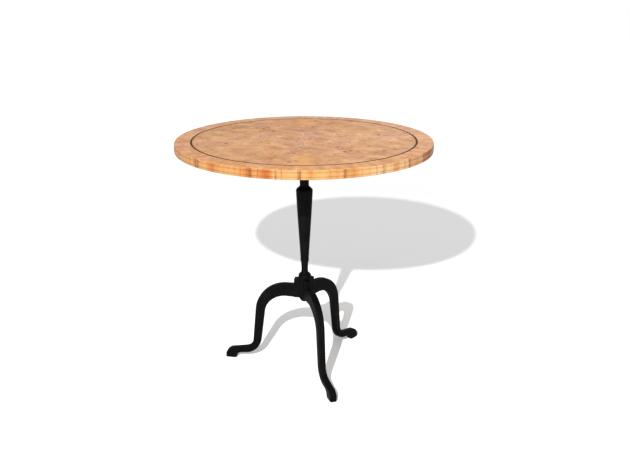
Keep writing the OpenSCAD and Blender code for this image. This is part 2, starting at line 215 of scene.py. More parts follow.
def burlColour(tree, at, centre):
    # mottled ground, pulled about by a slow warp
    drift = noise(tree, at, 5, 3, 0.5, output="Color")
    offset = vectorMaths(tree, "SUBTRACT", drift, (0.5, 0.5, 0.5))
    warped = vectorMaths(tree, "ADD", at, vectorMaths(tree, "SCALE", offset, scale=burl["warp"]))
    mottle = noise(tree, warped, burl["patch"], 7, 0.68)
    ground = ramp(tree, mottle, [
        (0.3, burl["shade"]), (0.42, burl["tan"]), (0.52, burl["gold"]), (0.6, burl["salmon"]),
        (0.72, burl["pale"])])
    zone = noise(tree, warped, burl["patch"] * 0.45, 3, 0.5)
    ground = blendColour(tree, spread(tree, zone, 0.46, 0.6, 0, 0.55), ground, burl["pink"])
    # orange flecks, stronger away from the middle
    reach = addNode(tree, "ShaderNodeVectorMath", operation="LENGTH")
    feed(tree, reach.inputs[0], centre)
    outward = spread(tree, reach.outputs["Value"], 0.06, 0.3, 0.2, 0.75)
    fleck = spread(tree, noise(tree, warped, burl["patch"] * 1.7, 5, 0.6), 0.55, 0.66)
    ground = blendColour(tree, maths(tree, "MULTIPLY", fleck, outward), ground, burl["orange"])
    # thin curls round the burl's centres
    cells = addNode(tree, "ShaderNodeTexVoronoi")
    feed(tree, cells.inputs["Vector"], warped)
    cells.inputs["Scale"].default_value = burl["curlScale"]
    wave = maths(tree, "SINE", maths(tree, "MULTIPLY", cells.outputs["Distance"], burl["curls"]))
    broken = spread(tree, noise(tree, warped, 26, 4, 0.6), 0.46, 0.62)
    curl = maths(tree, "MULTIPLY", spread(tree, wave, 0.5, 1.0), broken)
    ground = blendColour(tree, maths(tree, "MULTIPLY", curl, 0.42), ground, burl["line"])
    # purple brown smudges that crowd the seam near the middle
    split = addNode(tree, "ShaderNodeSeparateXYZ")
    feed(tree, split.inputs[0], centre)
    sideways = maths(tree, "ABSOLUTE", split.outputs["X"])
    lengthways = maths(tree, "ABSOLUTE", split.outputs["Y"])
    nearSeam = spread(tree, sideways, 0.02, 0.15, 1, 0)
    crowd = maths(tree, "MULTIPLY", nearSeam, spread(tree, lengthways, 0.12, 0.27, 1, 0))
    smudge = spread(tree, noise(tree, warped, 17, 4, 0.6), 0.48, 0.62, 0, 0.5)
    ground = blendColour(tree, maths(tree, "MULTIPLY", crowd, smudge), ground, burl["smudge"])
    # plain golden wood along the seam near its two ends
    onSeam = spread(tree, sideways, 0.006, 0.03, 1, 0)
    ends = maths(tree, "MULTIPLY", onSeam, spread(tree, lengthways, 0.15, 0.26, 0, 0.8))
    ground = blendColour(tree, ends, ground, burl["seam"])
    # small dark eyes in loose clusters
    eyes = addNode(tree, "ShaderNodeTexVoronoi")
    feed(tree, eyes.inputs["Vector"], warped)
    eyes.inputs["Scale"].default_value = burl["eyeScale"]
    pupil = spread(tree, eyes.outputs["Distance"], 0.1, 0.3, 1, 0)
    cluster = spread(tree, noise(tree, at, 9, 2, 0.5), 0.52, 0.64)
    dots = maths(tree, "MULTIPLY", maths(tree, "MULTIPLY", pupil, cluster), 0.8)
    ground = blendColour(tree, dots, ground, burl["eye"])
    # short dark checks, more of them away from the middle
    checks = spread(tree, noise(tree, at, 58, 5, 0.62, 0.6), 0.6, 0.68)
    checks = maths(tree, "MULTIPLY", checks, spread(tree, reach.outputs["Value"], 0.1, 0.3, 0.25, 0.7))
    ground = blendColour(tree, checks, ground, burl["line"])
    # fine pores
    pores = noise(tree, at, 420, 3, 0.6)
    ground = blendColour(tree, spread(tree, pores, 0.5, 0.72, 0, 0.2), ground, burl["tan"])
    return ground, pores


def burlVeneer(name, turn, shift):
    material, tree, surface = startMaterial(name, 0.4, 0.03)
    centre = place(tree, turn=(0, 0, turn))
    at = place(tree, turn=(0, 0, turn), shift=shift)
    colour, pores = burlColour(tree, at, centre)
    # painted light and shade: the veneer's colour is tinted from left to right and from front to back
    colour = paintedLightDrift(tree, colour, "X", burl["across"])
    feed(tree, surface.inputs["Base Color"], paintedLightDrift(tree, colour, "Y", burl["along"]))
    bump(tree, surface, pores, 0.05, 0.0004)
    return material


# turn is where the striped figure of the rim starts; height is how much it changes going down the rim
rimFigure = {"radius": 0.381, "turn": 0.478, "height": 0.03}


def rimPoint(tree, keepHeight=0):
    # the same value all the way along a radius, and changing only round the ring
    parts = pointParts(tree)
    flat = addNode(tree, "ShaderNodeCombineXYZ")
    tree.links.new(parts["X"], flat.inputs["X"])
    tree.links.new(parts["Y"], flat.inputs["Y"])
    ring = vectorMaths(tree, "NORMALIZE", flat.outputs[0])
    lift = addNode(tree, "ShaderNodeCombineXYZ")
    feed(tree, lift.inputs["Z"], maths(tree, "MULTIPLY", parts["Z"], keepHeight))
    ring = vectorMaths(tree, "SCALE", ring, scale=rimFigure["radius"])
    return vectorMaths(tree, "ADD", ring, lift.outputs[0])


# painted light and shade on the crossband: tints that make it lighter towards its right side and towards its
# back
crossbandPaintedLight = {
    "across": [(0.04, (1.06, 1.05, 1.1, 1)), (0.5, (1.12, 1.17, 1.2, 1)), (0.96, (1.26, 1.33, 1.52, 1))],
    "along": [(0.04, (0.94, 0.89, 0.78, 1)), (0.5, (1, 1, 1, 1)), (0.96, (1.06, 1.12, 1.24, 1))],
}


def crossbandVeneer(name):
    material, tree, surface = startMaterial(name, 0.4, 0.03)
    at = place(tree, shift=(3.1, 1.7, 0))
    radial = rimPoint(tree)
    grainAt = vectorMaths(tree, "ADD", radial, vectorMaths(tree, "SCALE", place(tree), scale=0.05))
    streak = noise(tree, grainAt, 46, 5, 0.62)
    ground = ramp(tree, streak, [
        (0.36, srgb(192, 134, 88, flatDim)), (0.47, srgb(206, 150, 103, flatDim)),
        (0.54, srgb(211, 157, 111, flatDim)), (0.64, srgb(220, 169, 124, flatDim))])
    mottle = noise(tree, at, 34, 6, 0.66)
    blotch = spread(tree, mottle, 0.48, 0.58, 0, 0.62)
    ground = blendColour(tree, blotch, ground, srgb(187, 126, 88, flatDim))
    dark = spread(tree, noise(tree, grainAt, 110, 3, 0.7), 0.56, 0.7, 0, 0.22)
    ground = blendColour(tree, dark, ground, srgb(146, 92, 56, flatDim))
    speck = spread(tree, noise(tree, at, 66, 4, 0.6), 0.62, 0.7, 0, 0.6)
    ground = blendColour(tree, speck, ground, srgb(112, 66, 42, flatDim))
    # painted light and shade: the crossband's colour is tinted from left to right and from front to back
    ground = paintedLightDrift(tree, ground, "X", crossbandPaintedLight["across"])
    feed(tree, surface.inputs["Base Color"], paintedLightDrift(tree, ground, "Y", crossbandPaintedLight["along"]))
    bump(tree, surface, streak, 0.04, 0.0004)
    return material


# painted light and shade on the rim: tints from its left end to its right end, a little darker across the
# left and middle and much lighter near the right end
rimPaintedLight = [
    (0.045, (0.98, 0.87, 0.96, 1)), (0.1, (0.97, 0.84, 0.86, 1)), (0.18, (1, 0.84, 0.82, 1)),
    (0.41, (0.98, 0.82, 0.76, 1)), (0.54, (1.04, 1, 0.98, 1)), (0.67, (1.1, 1.02, 1.02, 1)),
    (0.78, (1.28, 1.36, 1.8, 1)), (0.88, (1.38, 1.42, 2, 1)), (0.95, (1.08, 0.94, 0.98, 1)),
]


def edgeVeneer(name):
    material, tree, surface = startMaterial(name, 0.42, 0.1)
    turned = addNode(tree, "ShaderNodeVectorRotate", rotation_type="Z_AXIS")
    feed(tree, turned.inputs["Vector"], rimPoint(tree, rimFigure["height"]))
    turned.inputs["Angle"].default_value = rimFigure["turn"]
    at = turned.outputs["Vector"]
    broad = noise(tree, at, 17, 2, 0.5)
    ground = ramp(tree, broad, [
        (0.3, srgb(214, 122, 56, rimDim)), (0.42, srgb(238, 162, 88, rimDim)),
        (0.52, srgb(252, 198, 122, rimDim)), (0.7, srgb(255, 208, 138, rimDim))])
    fine = noise(tree, at, 95, 4, 0.7)
    ground = blendColour(tree, spread(tree, fine, 0.52, 0.66, 0, 0.55), ground, srgb(222, 138, 70, rimDim))
    line = noise(tree, vectorMaths(tree, "ADD", at, (0.7, 0.2, 0)), 62, 2, 0.5)
    ground = blendColour(tree, spread(tree, line, 0.59, 0.66, 0, 0.7), ground, srgb(164, 86, 38, rimDim))
    # painted light and shade: the rim's colour is tinted from its left end to its right end
    feed(tree, surface.inputs["Base Color"], paintedLightDrift(tree, ground, "X", rimPaintedLight))
    bump(tree, surface, fine, 0.05, 0.0004)
    return material


def plainWood(name, dark, light, along, ringScale=60, roughness=0.5):
    # straight grained wood; along is 0, 1 or 2 for the axis that the grain follows
    material, tree, surface = startMaterial(name, roughness, 0.3)
    stretch = [1.0, 1.0, 1.0]
    stretch[along] = 0.06
    at = place(tree, scale=stretch)
    bend = noise(tree, at, 9, 2, output="Color")
    at = vectorMaths(tree, "ADD", at, vectorMaths(tree, "SCALE", bend, scale=0.02))
    grain = noise(tree, at, ringScale, 6, 0.65)
    colour = ramp(tree, grain, [(0.34, dark), (0.66, light)])
    pores = noise(tree, at, ringScale * 8, 3, 0.7)
    poreColour = tuple(level * 0.45 for level in dark[:3]) + (1,)
    colour = blendColour(tree, spread(tree, pores, 0.56, 0.72, 0, 0.5), colour, poreColour)
    feed(tree, surface.inputs["Base Color"], colour)
    sheen = spread(tree, grain, 0.3, 0.7, roughness + 0.12, roughness - 0.06)
    feed(tree, surface.inputs["Roughness"], sheen)
    bump(tree, surface, pores, 0.25, 0.0006)
    return material


def blackPaint(name):
    # satin paint over cast iron, with soft orange peel and a little dust
    material, tree, surface = startMaterial(name, 0.55, 0.02)
    at = place(tree)
    cloud = noise(tree, at, 30, 4, 0.6)
    colour = ramp(tree, cloud, [(0.35, srgb(4, 4, 4)), (0.7, srgb(8, 8, 8))])
    dust = spread(tree, noise(tree, at, 260, 3, 0.65), 0.58, 0.75, 0, 0.25)
    colour = blendColour(tree, dust, colour, srgb(19, 18, 18))
    feed(tree, surface.inputs["Base Color"], colour)
    feed(tree, surface.inputs["Roughness"], spread(tree, cloud, 0.3, 0.7, 0.44, 0.58))
    skin = noise(tree, at, 520, 3, 0.55)
    pits = noise(tree, at, 140, 2, 0.5)
    bump(tree, surface, maths(tree, "ADD", maths(tree, "MULTIPLY", skin, 0.35), pits), 0.16, 0.0009)
    return material


def metal(name, light, dark, roughness, scratch=(1, 1, 1)):
    material, tree, surface = startMaterial(name, roughness, metallic=1.0)
    at = place(tree, scale=scratch)
    film = noise(tree, at, 90, 5, 0.65)
    feed(tree, surface.inputs["Base Color"], ramp(tree, film, [(0.3, dark), (0.62, light)]))
    feed(tree, surface.inputs["Roughness"], spread(tree, film, 0.3, 0.7, roughness + 0.2, roughness - 0.05))
    lines = noise(tree, place(tree, scale=tuple(4 * s for s in scratch)), 400, 3, 0.6)
    bump(tree, surface, lines, 0.12, 0.0003)
    return material


def dyedString(name):
    # dark brown stringing, worn a little paler here and there along its length
    material, tree, surface = startMaterial(name, 0.45, 0.02)
    grain = noise(tree, place(tree), 260, 4, 0.6)
    colour = ramp(tree, grain, [(0.35, srgb(44, 12, 2, 0.8)), (0.7, srgb(76, 28, 8, 0.8))])
    worn = spread(tree, noise(tree, rimPoint(tree), 40, 3, 0.6), 0.54, 0.66, 0, 0.35)
    feed(tree, surface.inputs["Base Color"], blendColour(tree, worn, colour, srgb(120, 66, 34, 0.6)))
    bump(tree, surface, grain, 0.05, 0.0003)
    return material


def glidePlastic(name):
    material, tree, surface = startMaterial(name, 0.55, 0.4)
    grain = noise(tree, place(tree), 600, 2, 0.5)
    colour = ramp(tree, grain, [(0.3, srgb(34, 33, 32)), (0.7, srgb(52, 50, 48))])
    feed(tree, surface.inputs["Base Color"], colour)
    bump(tree, surface, grain, 0.2, 0.0004)
    return material


leafShift = (1.3, 0.55, 0.2)
finishes = {
    "leafLeft": burlVeneer("burlLeafLeft", 0, leafShift),
    "leafRight": burlVeneer("burlLeafRight", math.pi, leafShift),
    "band": crossbandVeneer("crossbandVeneer"),
    "edge": edgeVeneer("edgeVeneer"),
    "string": dyedString("dyedString"),
    "core": plainWood("coreBoard", srgb(168, 124, 78), srgb(206, 164, 112), 1, 40),
    "backing": plainWood("backingVeneer", srgb(82, 54, 36), srgb(122, 86, 58), 1, 34, 0.6),
    "bearer": plainWood("bearerWood", srgb(72, 38, 20), srgb(122, 70, 40), 1, 70, 0.46),
    "block": plainWood("blockWood", srgb(66, 34, 18), srgb(112, 64, 36), 0, 70, 0.46),
    "iron": blackPaint("blackPaint"),
    "steel": metal("turnedSteel", srgb(176, 176, 180), srgb(104, 102, 100), 0.32, (1, 6, 1)),
    "brass": metal("agedBrass", srgb(206, 160, 86, 0.72), srgb(128, 88, 44, 0.72), 0.38, (6, 1, 1)),
    "glide": glidePlastic("glidePlastic"),
}
print("finishes made:", len(finishes))

painted = {
    "veneer_leaf_left": "leafLeft", "veneer_leaf_right": "leafRight", "crossband": "band",
    "inlay_string": "string", "top_core": "core", "edge_band": "edge", "backing_veneer": "backing",
    "bearer_left": "bearer", "bearer_right": "bearer", "head_block": "block",
    "bearer_screws": "brass", "pivot_bushes": "brass", "bolt_plate": "brass", "bolt_keepers": "brass",
    "bolt_plate_screws": "brass", "bolt_knob": "brass", "keep_plate": "brass", "keep_screws": "brass",
    "pivot_washers": "brass", "slide_bolt": "steel", "pivot_pins": "steel", "flange_screws": "steel",
    "tie_rod": "steel", "rod_washer": "steel", "rod_nut": "steel", "head_flange": "iron",
    "head_socket": "iron", "column_shaft": "iron", "hub_cap": "iron", "hub": "iron",
    "clamp_plate": "iron", "finial_nut": "iron", "leg_front": "iron", "leg_right": "iron",
    "leg_left": "iron", "foot_glides": "glide",
}
for nodeName, finish in painted.items():
    paint(nodeName, finishes[finish])
print("packed nodes painted")


# ---------- mesh helpers ----------

def addPiece(name, mesh, body, slotName, *stands):
    piece = bpy.data.objects.new(name, mesh)
    bpy.context.scene.collection.objects.link(piece)
    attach(piece, body)
    if stands:
        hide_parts(*stands)
    return piece


def smoothed(mesh, angle=38):
    mesh.shade_smooth()
    mesh.set_sharp_from_angle(angle=math.radians(angle))
    return mesh


def turnOutwards(mesh, weld=0):
    form = bmesh.new()
    form.from_mesh(mesh)
    if weld:
        bmesh.ops.remove_doubles(form, verts=form.verts, dist=weld)
    bmesh.ops.recalc_face_normals(form, faces=form.faces)
    form.to_mesh(mesh)
    form.free()


def shell(name, points, faces, material, angle=38):
    # closed mesh with its faces turned outwards
    mesh = bpy.data.meshes.new(name)
    mesh.from_pydata(points, [], faces)
    turnOutwards(mesh, 1e-7)
    mesh.materials.append(material)
    return smoothed(mesh, angle)


def eased(outline, size, steps=4):
    # a closed outline with every corner off the axis eased by a small curve
    result = []
    for index, here in enumerate(outline):
        before = Vector(outline[index - 1])
        after = Vector(outline[(index + 1) % len(outline)])
        here = Vector(here)
        if here.x < 1e-9:
            result.append(here)
            continue
        start = here + (before - here).normalized() * min(size, (before - here).length * 0.45)
        end = here + (after - here).normalized() * min(size, (after - here).length * 0.45)
        for step in range(steps + 1):
            f = step / steps
            result.append(start.lerp(here, f).lerp(here.lerp(end, f), f))
    return result


def lathe(name, outline, material, ease=0.0006, segments=144):
    # outline is a closed list of (radius, height), turned about the vertical axis
    outline = eased(outline, ease)
    points = []
    rings = []
    for spot in outline:
        count = 1 if spot.x < 1e-9 else segments
        rings.append([len(points) + k for k in range(count)])
        for k in range(count):
            turn = 2 * math.pi * k / segments
            points.append((spot.x * math.cos(turn), spot.x * math.sin(turn), spot.y))
    faces = []
    for index, ring in enumerate(rings):
        following = rings[(index + 1) % len(rings)]
        if len(ring) == 1 and len(following) == 1:
            continue
        for k in range(segments):
            after = (k + 1) % segments
            corners = [ring[k % len(ring)], ring[after % len(ring)],
                       following[after % len(following)], following[k % len(following)]]
            faces.append(list(dict.fromkeys(corners)))
    return shell(name, points, faces, material)


def evaluated(name, mesh, addModifiers):
    # runs modifiers on a mesh and gives back the plain result
    carrier = bpy.data.objects.new(name + "Carrier", mesh)
    bpy.context.scene.collection.objects.link(carrier)
    addModifiers(carrier)
    bpy.context.view_layer.update()
    graph = bpy.context.evaluated_depsgraph_get()
    result = bpy.data.meshes.new_from_object(carrier.evaluated_get(graph))
    result.name = name
    bpy.data.objects.remove(carrier)
    return result


def softened(name, nodeName, width, material, body, slotName, segments=3):
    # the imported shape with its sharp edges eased
    form = bmesh.new()
    form.from_mesh(nodes[nodeName].data)
    bmesh.ops.remove_doubles(form, verts=form.verts, dist=2e-6)
    bmesh.ops.dissolve_limit(form, angle_limit=math.radians(0.6), verts=form.verts, edges=form.edges)
    points = [v.co.copy() for v in form.verts]
    faces = [[v.index for v in face.verts] for face in form.faces]
    form.free()
    plain = shell(name + "Plain", points, faces, material)

    def ease(carrier):
        bevel = carrier.modifiers.new("ease", "BEVEL")
        bevel.width = width
        bevel.segments = segments
        bevel.limit_method = "ANGLE"
        bevel.angle_limit = math.radians(40)
    mesh = smoothed(evaluated(name, plain, ease), 30)
    return addPiece(name, mesh, body, slotName, nodeName)


# ---------- geometry nodes helpers ----------

def newTree(name, inputs):
    # inputs: {label: (socket kind, value)}
    tree = bpy.data.node_groups.new(name, "GeometryNodeTree")
    tree.interface.new_socket("Geometry", in_out="INPUT", socket_type="NodeSocketGeometry")
    for label, (kind, _) in inputs.items():
        tree.interface.new_socket(label, in_out="INPUT", socket_type=kind)
    tree.interface.new_socket("Geometry", in_out="OUTPUT", socket_type="NodeSocketGeometry")
    source = addNode(tree, "NodeGroupInput")
    target = addNode(tree, "NodeGroupOutput")
    return tree, source.outputs, target.inputs


def finishTree(tree, geometry, target, material):
    real = addNode(tree, "GeometryNodeRealizeInstances")
    tree.links.new(geometry, real.inputs["Geometry"])
    coat = addNode(tree, "GeometryNodeSetMaterial")
    coat.inputs["Material"].default_value = material
    tree.links.new(real.outputs["Geometry"], coat.inputs["Geometry"])
    tree.links.new(coat.outputs["Geometry"], target[0])


def grown(name, mesh, tree, inputs):
    def grow(carrier):
        modifier = carrier.modifiers.new("grow", "NODES")
        modifier.node_group = tree
        for item in tree.interface.items_tree:
            if item.in_out == "INPUT" and item.name in inputs:
                modifier[item.identifier] = inputs[item.name][1]
    return evaluated(name, mesh, grow)


def pointMesh(name, points, edges=()):
    mesh = bpy.data.meshes.new(name)
    mesh.from_pydata([tuple(p) for p in points], list(edges), [])
    return mesh


# ---------- moulded rim ----------

rim = {"groove": 0.0021, "segments": 384}


def makeRim():
    # top band, wide middle band and bottom bead, parted by two grooves, swept round the top
    coreR = high("top_core").x
    outR = high("edge_band").x
    b = low("edge_band").z
    t = high("edge_band").z
    mm = 0.001
    g = rim["groove"]
    outline = [
        (coreR, b), (outR - 2.6 * mm, b), (outR - 1.1 * mm, b + 0.7 * mm), (outR - 0.5 * mm, b + 2 * mm),
        (outR - 0.5 * mm, b + 4.4 * mm), (outR - 1.2 * mm, b + 5.4 * mm), (outR - g, b + 5.9 * mm),
        (outR - g, b + 7.3 * mm), (outR - 0.6 * mm, b + 7.9 * mm), (outR, b + 8.8 * mm),
        (outR, t - 8.4 * mm), (outR - 0.6 * mm, t - 7.5 * mm), (outR - g, t - 6.9 * mm),
        (outR - g, t - 5.5 * mm), (outR - 1.1 * mm, t - 4.9 * mm), (outR - 0.6 * mm, t - 4 * mm),
        (outR - 0.6 * mm, t - 1.6 * mm), (outR - 1.1 * mm, t - 0.6 * mm), (outR - 1.8 * mm, t), (coreR, t)]
    section = eased(outline, 0.0009, 3)
    middle = (coreR + outR) / 2
    profile = pointMesh("rimProfile", [(p.x - middle, -p.y, 0) for p in section],
                        [(k, (k + 1) % len(section)) for k in range(len(section))])
    inputs = {"Ring Radius": ("NodeSocketFloat", middle), "Ring Points": ("NodeSocketInt", rim["segments"])}
    tree, source, target = newTree("rimSweep", inputs)
    outlineCurve = addNode(tree, "GeometryNodeMeshToCurve")
    tree.links.new(source["Geometry"], outlineCurve.inputs["Mesh"])
    circle = addNode(tree, "GeometryNodeCurvePrimitiveCircle")
    tree.links.new(source["Ring Radius"], circle.inputs["Radius"])
    tree.links.new(source["Ring Points"], circle.inputs["Resolution"])
    upright = addNode(tree, "GeometryNodeSetCurveNormal", mode="Z_UP")
    tree.links.new(circle.outputs["Curve"], upright.inputs["Curve"])
    sweep = addNode(tree, "GeometryNodeCurveToMesh")
    tree.links.new(upright.outputs["Curve"], sweep.inputs["Curve"])
    tree.links.new(outlineCurve.outputs["Curve"], sweep.inputs["Profile Curve"])
    finishTree(tree, sweep.outputs["Mesh"], target, finishes["edge"])
    mesh = grown("mouldedRim", profile, tree, inputs)
    turnOutwards(mesh)
    addPiece("mouldedRim", smoothed(mesh, 50), "top", "edge_wood", "edge_band")


makeRim()
print("moulded rim done")


# ---------- column shaft ----------

shaft = {
    "collar": 0.013, "shoulder": 0.0255, "neck": 0.0139, "swell": 0.07, "foot": 0.015, "drop": 0.09,
    "turn": 0.019, "edge": 0.0026, "edgeEase": 0.0018, "steps": 220, "sides": 112,
}


def makeShaft():
    bottom = low("column_shaft").z
    top = high("column_shaft").z
    inputs = {
        "Bottom": ("NodeSocketFloat", bottom), "Top": ("NodeSocketFloat", top),
        "Taper Low": ("NodeSocketFloat", bottom + shaft["foot"]),
        "Taper Top": ("NodeSocketFloat", top - shaft["drop"]),
        "Collar Radius": ("NodeSocketFloat", shaft["collar"]),
        "Shoulder Radius": ("NodeSocketFloat", shaft["shoulder"]),
        "Neck Radius": ("NodeSocketFloat", shaft["neck"]), "Swell": ("NodeSocketFloat", shaft["swell"]),
        "Steps": ("NodeSocketInt", shaft["steps"]), "Sides": ("NodeSocketInt", shaft["sides"])}
    tree, source, target = newTree("shaftRule", inputs)
    tube = addNode(tree, "GeometryNodeMeshCylinder", fill_type="NGON")
    tree.links.new(source["Sides"], tube.inputs["Vertices"])
    tree.links.new(source["Steps"], tube.inputs["Side Segments"])
    tube.inputs["Radius"].default_value = 1
    tube.inputs["Depth"].default_value = 1
    position = addNode(tree, "GeometryNodeInputPosition")
    parts = addNode(tree, "ShaderNodeSeparateXYZ")
    tree.links.new(position.outputs[0], parts.inputs[0])
    height = maths(tree, "MULTIPLY_ADD", maths(tree, "ADD", parts.outputs["Z"], 0.5),
                   maths(tree, "SUBTRACT", source["Top"], source["Bottom"]), source["Bottom"])

    def between(value, start, end, shape="LINEAR"):
        node = addNode(tree, "ShaderNodeMapRange", interpolation_type=shape)
        feed(tree, node.inputs["Value"], value)
        feed(tree, node.inputs["From Min"], start)
        feed(tree, node.inputs["From Max"], end)
        return node.outputs["Result"]
    # taper that swells a little on its way up
    f = between(height, source["Taper Low"], source["Taper Top"])
    wave = maths(tree, "SINE", maths(tree, "MULTIPLY", f, math.pi))
    rise = maths(tree, "MULTIPLY_ADD", maths(tree, "MULTIPLY", wave, f), source["Swell"], f)
    growth = maths(tree, "SUBTRACT", source["Shoulder Radius"], source["Collar Radius"])
    taper = maths(tree, "MULTIPLY_ADD", rise, growth, source["Collar Radius"])
    # rounded shoulder down to the neck
    neckStart = maths(tree, "ADD", source["Taper Top"], shaft["turn"])
    fall = between(height, source["Taper Top"], neckStart, "SMOOTHERSTEP")
    drop = maths(tree, "SUBTRACT", source["Neck Radius"], source["Shoulder Radius"])
    radius = maths(tree, "MULTIPLY_ADD", fall, drop, taper)
    # eased lower edge of the collar
    edge = between(height, source["Bottom"], maths(tree, "ADD", source["Bottom"], shaft["edge"]))
    lack = maths(tree, "POWER", maths(tree, "SUBTRACT", 1, edge), 2.2)
    radius = maths(tree, "MULTIPLY_ADD", lack, -shaft["edgeEase"], radius)
    joined = addNode(tree, "ShaderNodeCombineXYZ")
    feed(tree, joined.inputs["X"], maths(tree, "MULTIPLY", parts.outputs["X"], radius))
    feed(tree, joined.inputs["Y"], maths(tree, "MULTIPLY", parts.outputs["Y"], radius))
    feed(tree, joined.inputs["Z"], height)
    moved = addNode(tree, "GeometryNodeSetPosition")
    tree.links.new(tube.outputs["Mesh"], moved.inputs["Geometry"])
    tree.links.new(joined.outputs[0], moved.inputs["Position"])
    finishTree(tree, moved.outputs["Geometry"], target, finishes["iron"])
    mesh = grown("taperedShaft", pointMesh("shaftSeed", [(0, 0, 0)]), tree, inputs)
    addPiece("taperedShaft", smoothed(mesh, 40), "base", "black_iron", "column_shaft")


makeShaft()
print("shaft done")


# ---------- turned pieces ----------

def millimetres(points, lift=0.0):
    return [(r / 1000, z / 1000 + lift) for r, z in points]


def makeTurned():
    # each outline is (radius, height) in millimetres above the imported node's own foot
    cap = [(0, 0), (19, 0), (19.9, 0.8), (20.2, 3), (20.2, 8), (20, 10.8), (19.6, 13), (18.6, 15.6),
           (16.4, 17.8), (13.6, 19.6), (11.9, 21.4), (11, 24), (10.5, 27.6), (10.3, 33), (10.4, 40),
           (10.8, 47), (11.2, 53), (11.6, "top"), (0, "top")]
    nut = [(0, 0), (6, 0.2), (10.6, 1.2), (13.6, 3.2), (15.4, 6), (15.9, 8), (15.6, "top"), (0, "top")]
    socket = [(13.9, 0), (19.1, 0), (19.9, 0.8), (23.9, "top"), (13.9, "top")]
    for name, nodeName, outline, ease in (
            ("domedCap", "hub_cap", cap, 0.0012), ("finial", "finial_nut", nut, 0.0012),
            ("collarSocket", "head_socket", socket, 0.001)):
        foot = low(nodeName).z
        top = (high(nodeName).z - foot) * 1000
        outline = [(radius, top if height == "top" else height) for radius, height in outline]
        mesh = lathe(name, millimetres(outline, foot), finishes["iron"], ease)
        addPiece(name, mesh, "base", "black_iron", nodeName)
    centre = (low("bolt_knob") + high("bolt_knob")) / 2
    knob = [(0, 0), (3.4, 0.2), (6, 1.6), (7, 4), (6.4, 6.6), (4.2, 8.8), (3.8, 11), (4.6, 12.6), (0, 12.6)]
    mesh = lathe("boltKnob", millimetres(knob), finishes["brass"], 0.0012, 64)
    mesh.transform(Matrix.Translation((centre.x, centre.y, low("bolt_knob").z)))
    addPiece("boltKnob", mesh, "bolt", "brass", "bolt_knob")


makeTurned()
print("turned pieces done")


# ---------- cranked legs ----------

# all in millimetres, apart from the turns about the column in degrees
leg = {
    "width": 21, "kneeAt": 59, "kneeOuter": 102, "kneeInner": 74, "rise": 1.2,
    "ankleUp": 74.3, "ankleBack": 63.5, "ankleOuter": 30.6, "ankleInner": 55.6,
    "toe": 265, "armDeep": 42.5, "glide": 1, "drum": 19.5,
    "blockOut": 33, "blockWide": 22.8, "blockTall": 63, "fillet": 7, "voxel": 1.15,
    "turns": (-71.5, 48.5, 168.5),
}


def legStations():
    # upper point, lower point, half width and edge rounding, in millimetres, along +X
    armLow = low("hub").z * 1000
    armTop = armLow + leg["armDeep"]
    half = leg["width"] / 2
    toe = leg["toe"]
    ankle = Vector((toe - leg["ankleBack"], leg["ankleUp"]))
    under = ankle + Vector((-1, 3))

    def onArc(centre, radius, angle):
        return Vector((centre.x + radius * math.cos(angle), centre.y + radius * math.sin(angle)))

    def touch(start, startR, end, endR):
        # direction of the point where the straight run leaves one arc to meet the other
        way = end - start
        return math.atan2(way.y, way.x) + math.acos((startR + endR) / way.length)
    outerC = Vector((leg["kneeAt"], armTop - leg["kneeOuter"]))
    innerC = Vector((leg["kneeAt"], armLow + leg["rise"] - leg["kneeInner"]))
    outerT = touch(outerC, leg["kneeOuter"], ankle, leg["ankleOuter"])
    innerT = touch(innerC, leg["kneeInner"], under, leg["ankleInner"])
    rows = [(Vector((12, armTop)), Vector((12, armLow)), half, 2.5),
            (Vector((32, armTop)), Vector((32, armLow + 0.3)), half, 2.5)]
    steps = 26
    level = math.pi / 2
    for k in range(steps + 1):
        f = k / steps
        upper = onArc(outerC, leg["kneeOuter"], level + f * (outerT - level))
        lower = onArc(innerC, leg["kneeInner"], level + f * (innerT - level))
        rows.append((upper, lower, half, 2.6 + 2.4 * f))
    kneeEnd = rows[-1]
    for k in range(steps + 1):
        f = k / steps
        upper = onArc(ankle, leg["ankleOuter"], math.pi + outerT + f * (math.radians(79.5) - outerT))
        lower = onArc(under, leg["ankleInner"], math.pi + innerT + f * (math.radians(86) - innerT))
        row = (upper, lower, half + 0.2 * f, 5)
        if k == 0:
            # fill the straight run
            for j in range(1, 6):
                share = j / 6
                rows.append(tuple(a + (b - a) * share for a, b in zip(kneeEnd, row)))
        rows.append(row)
    pad = half + 0.2
    sole = leg["glide"]
    foot = [
        ((toe - 56, 41.8), (toe - 54, 20.6), pad, 5), ((toe - 45, 39.8), (toe - 46, 18.8), pad, 4.8),
        ((toe - 36, 38.2), (toe - 40, 15.4), pad, 4.2), ((toe - 29, 37), (toe - 36.4, 8.8), pad, 3.4),
        ((toe - 24, 36), (toe - 34.2, sole + 1), pad, 2.8), ((toe - 18, 34.4), (toe - 29, sole), pad, 2.6),
        ((toe - 12, 31.6), (toe - 20, sole), pad, 2.6), ((toe - 6.5, 27), (toe - 10, sole), pad, 2.6),
        ((toe - 2.6, 21.2), (toe - 3.8, sole), pad - 0.2, 2.4),
        ((toe - 0.8, 16), (toe - 1.2, sole + 0.4), pad - 0.8, 2.4),
        ((toe, 12), (toe, sole + 1.6), pad - 2, 1.8)]
    for upper, lower, wide, ease in foot:
        rows.append((Vector(upper), Vector(lower), wide, ease))
    return rows


def legSection(row, count=9):
    upper, lower, wide, ease = row
    across = (upper - lower).length
    up = (upper - lower) / across
    ease = min(ease, across * 0.45, wide * 0.9)
    ring = []
    for corner in range(4):
        sideways = 1 if corner in (0, 1) else -1
        onTop = corner in (1, 2)
        for k in range(count):
            angle = math.radians(-90 + 90 * corner + 90 * k / (count - 1))
            x = sideways * (wide - ease) + ease * math.cos(angle)
            y = (across - ease if onTop else ease) + ease * math.sin(angle)
            ring.append((lower.x + up.x * y, x, lower.y + up.y * y))
    return ring


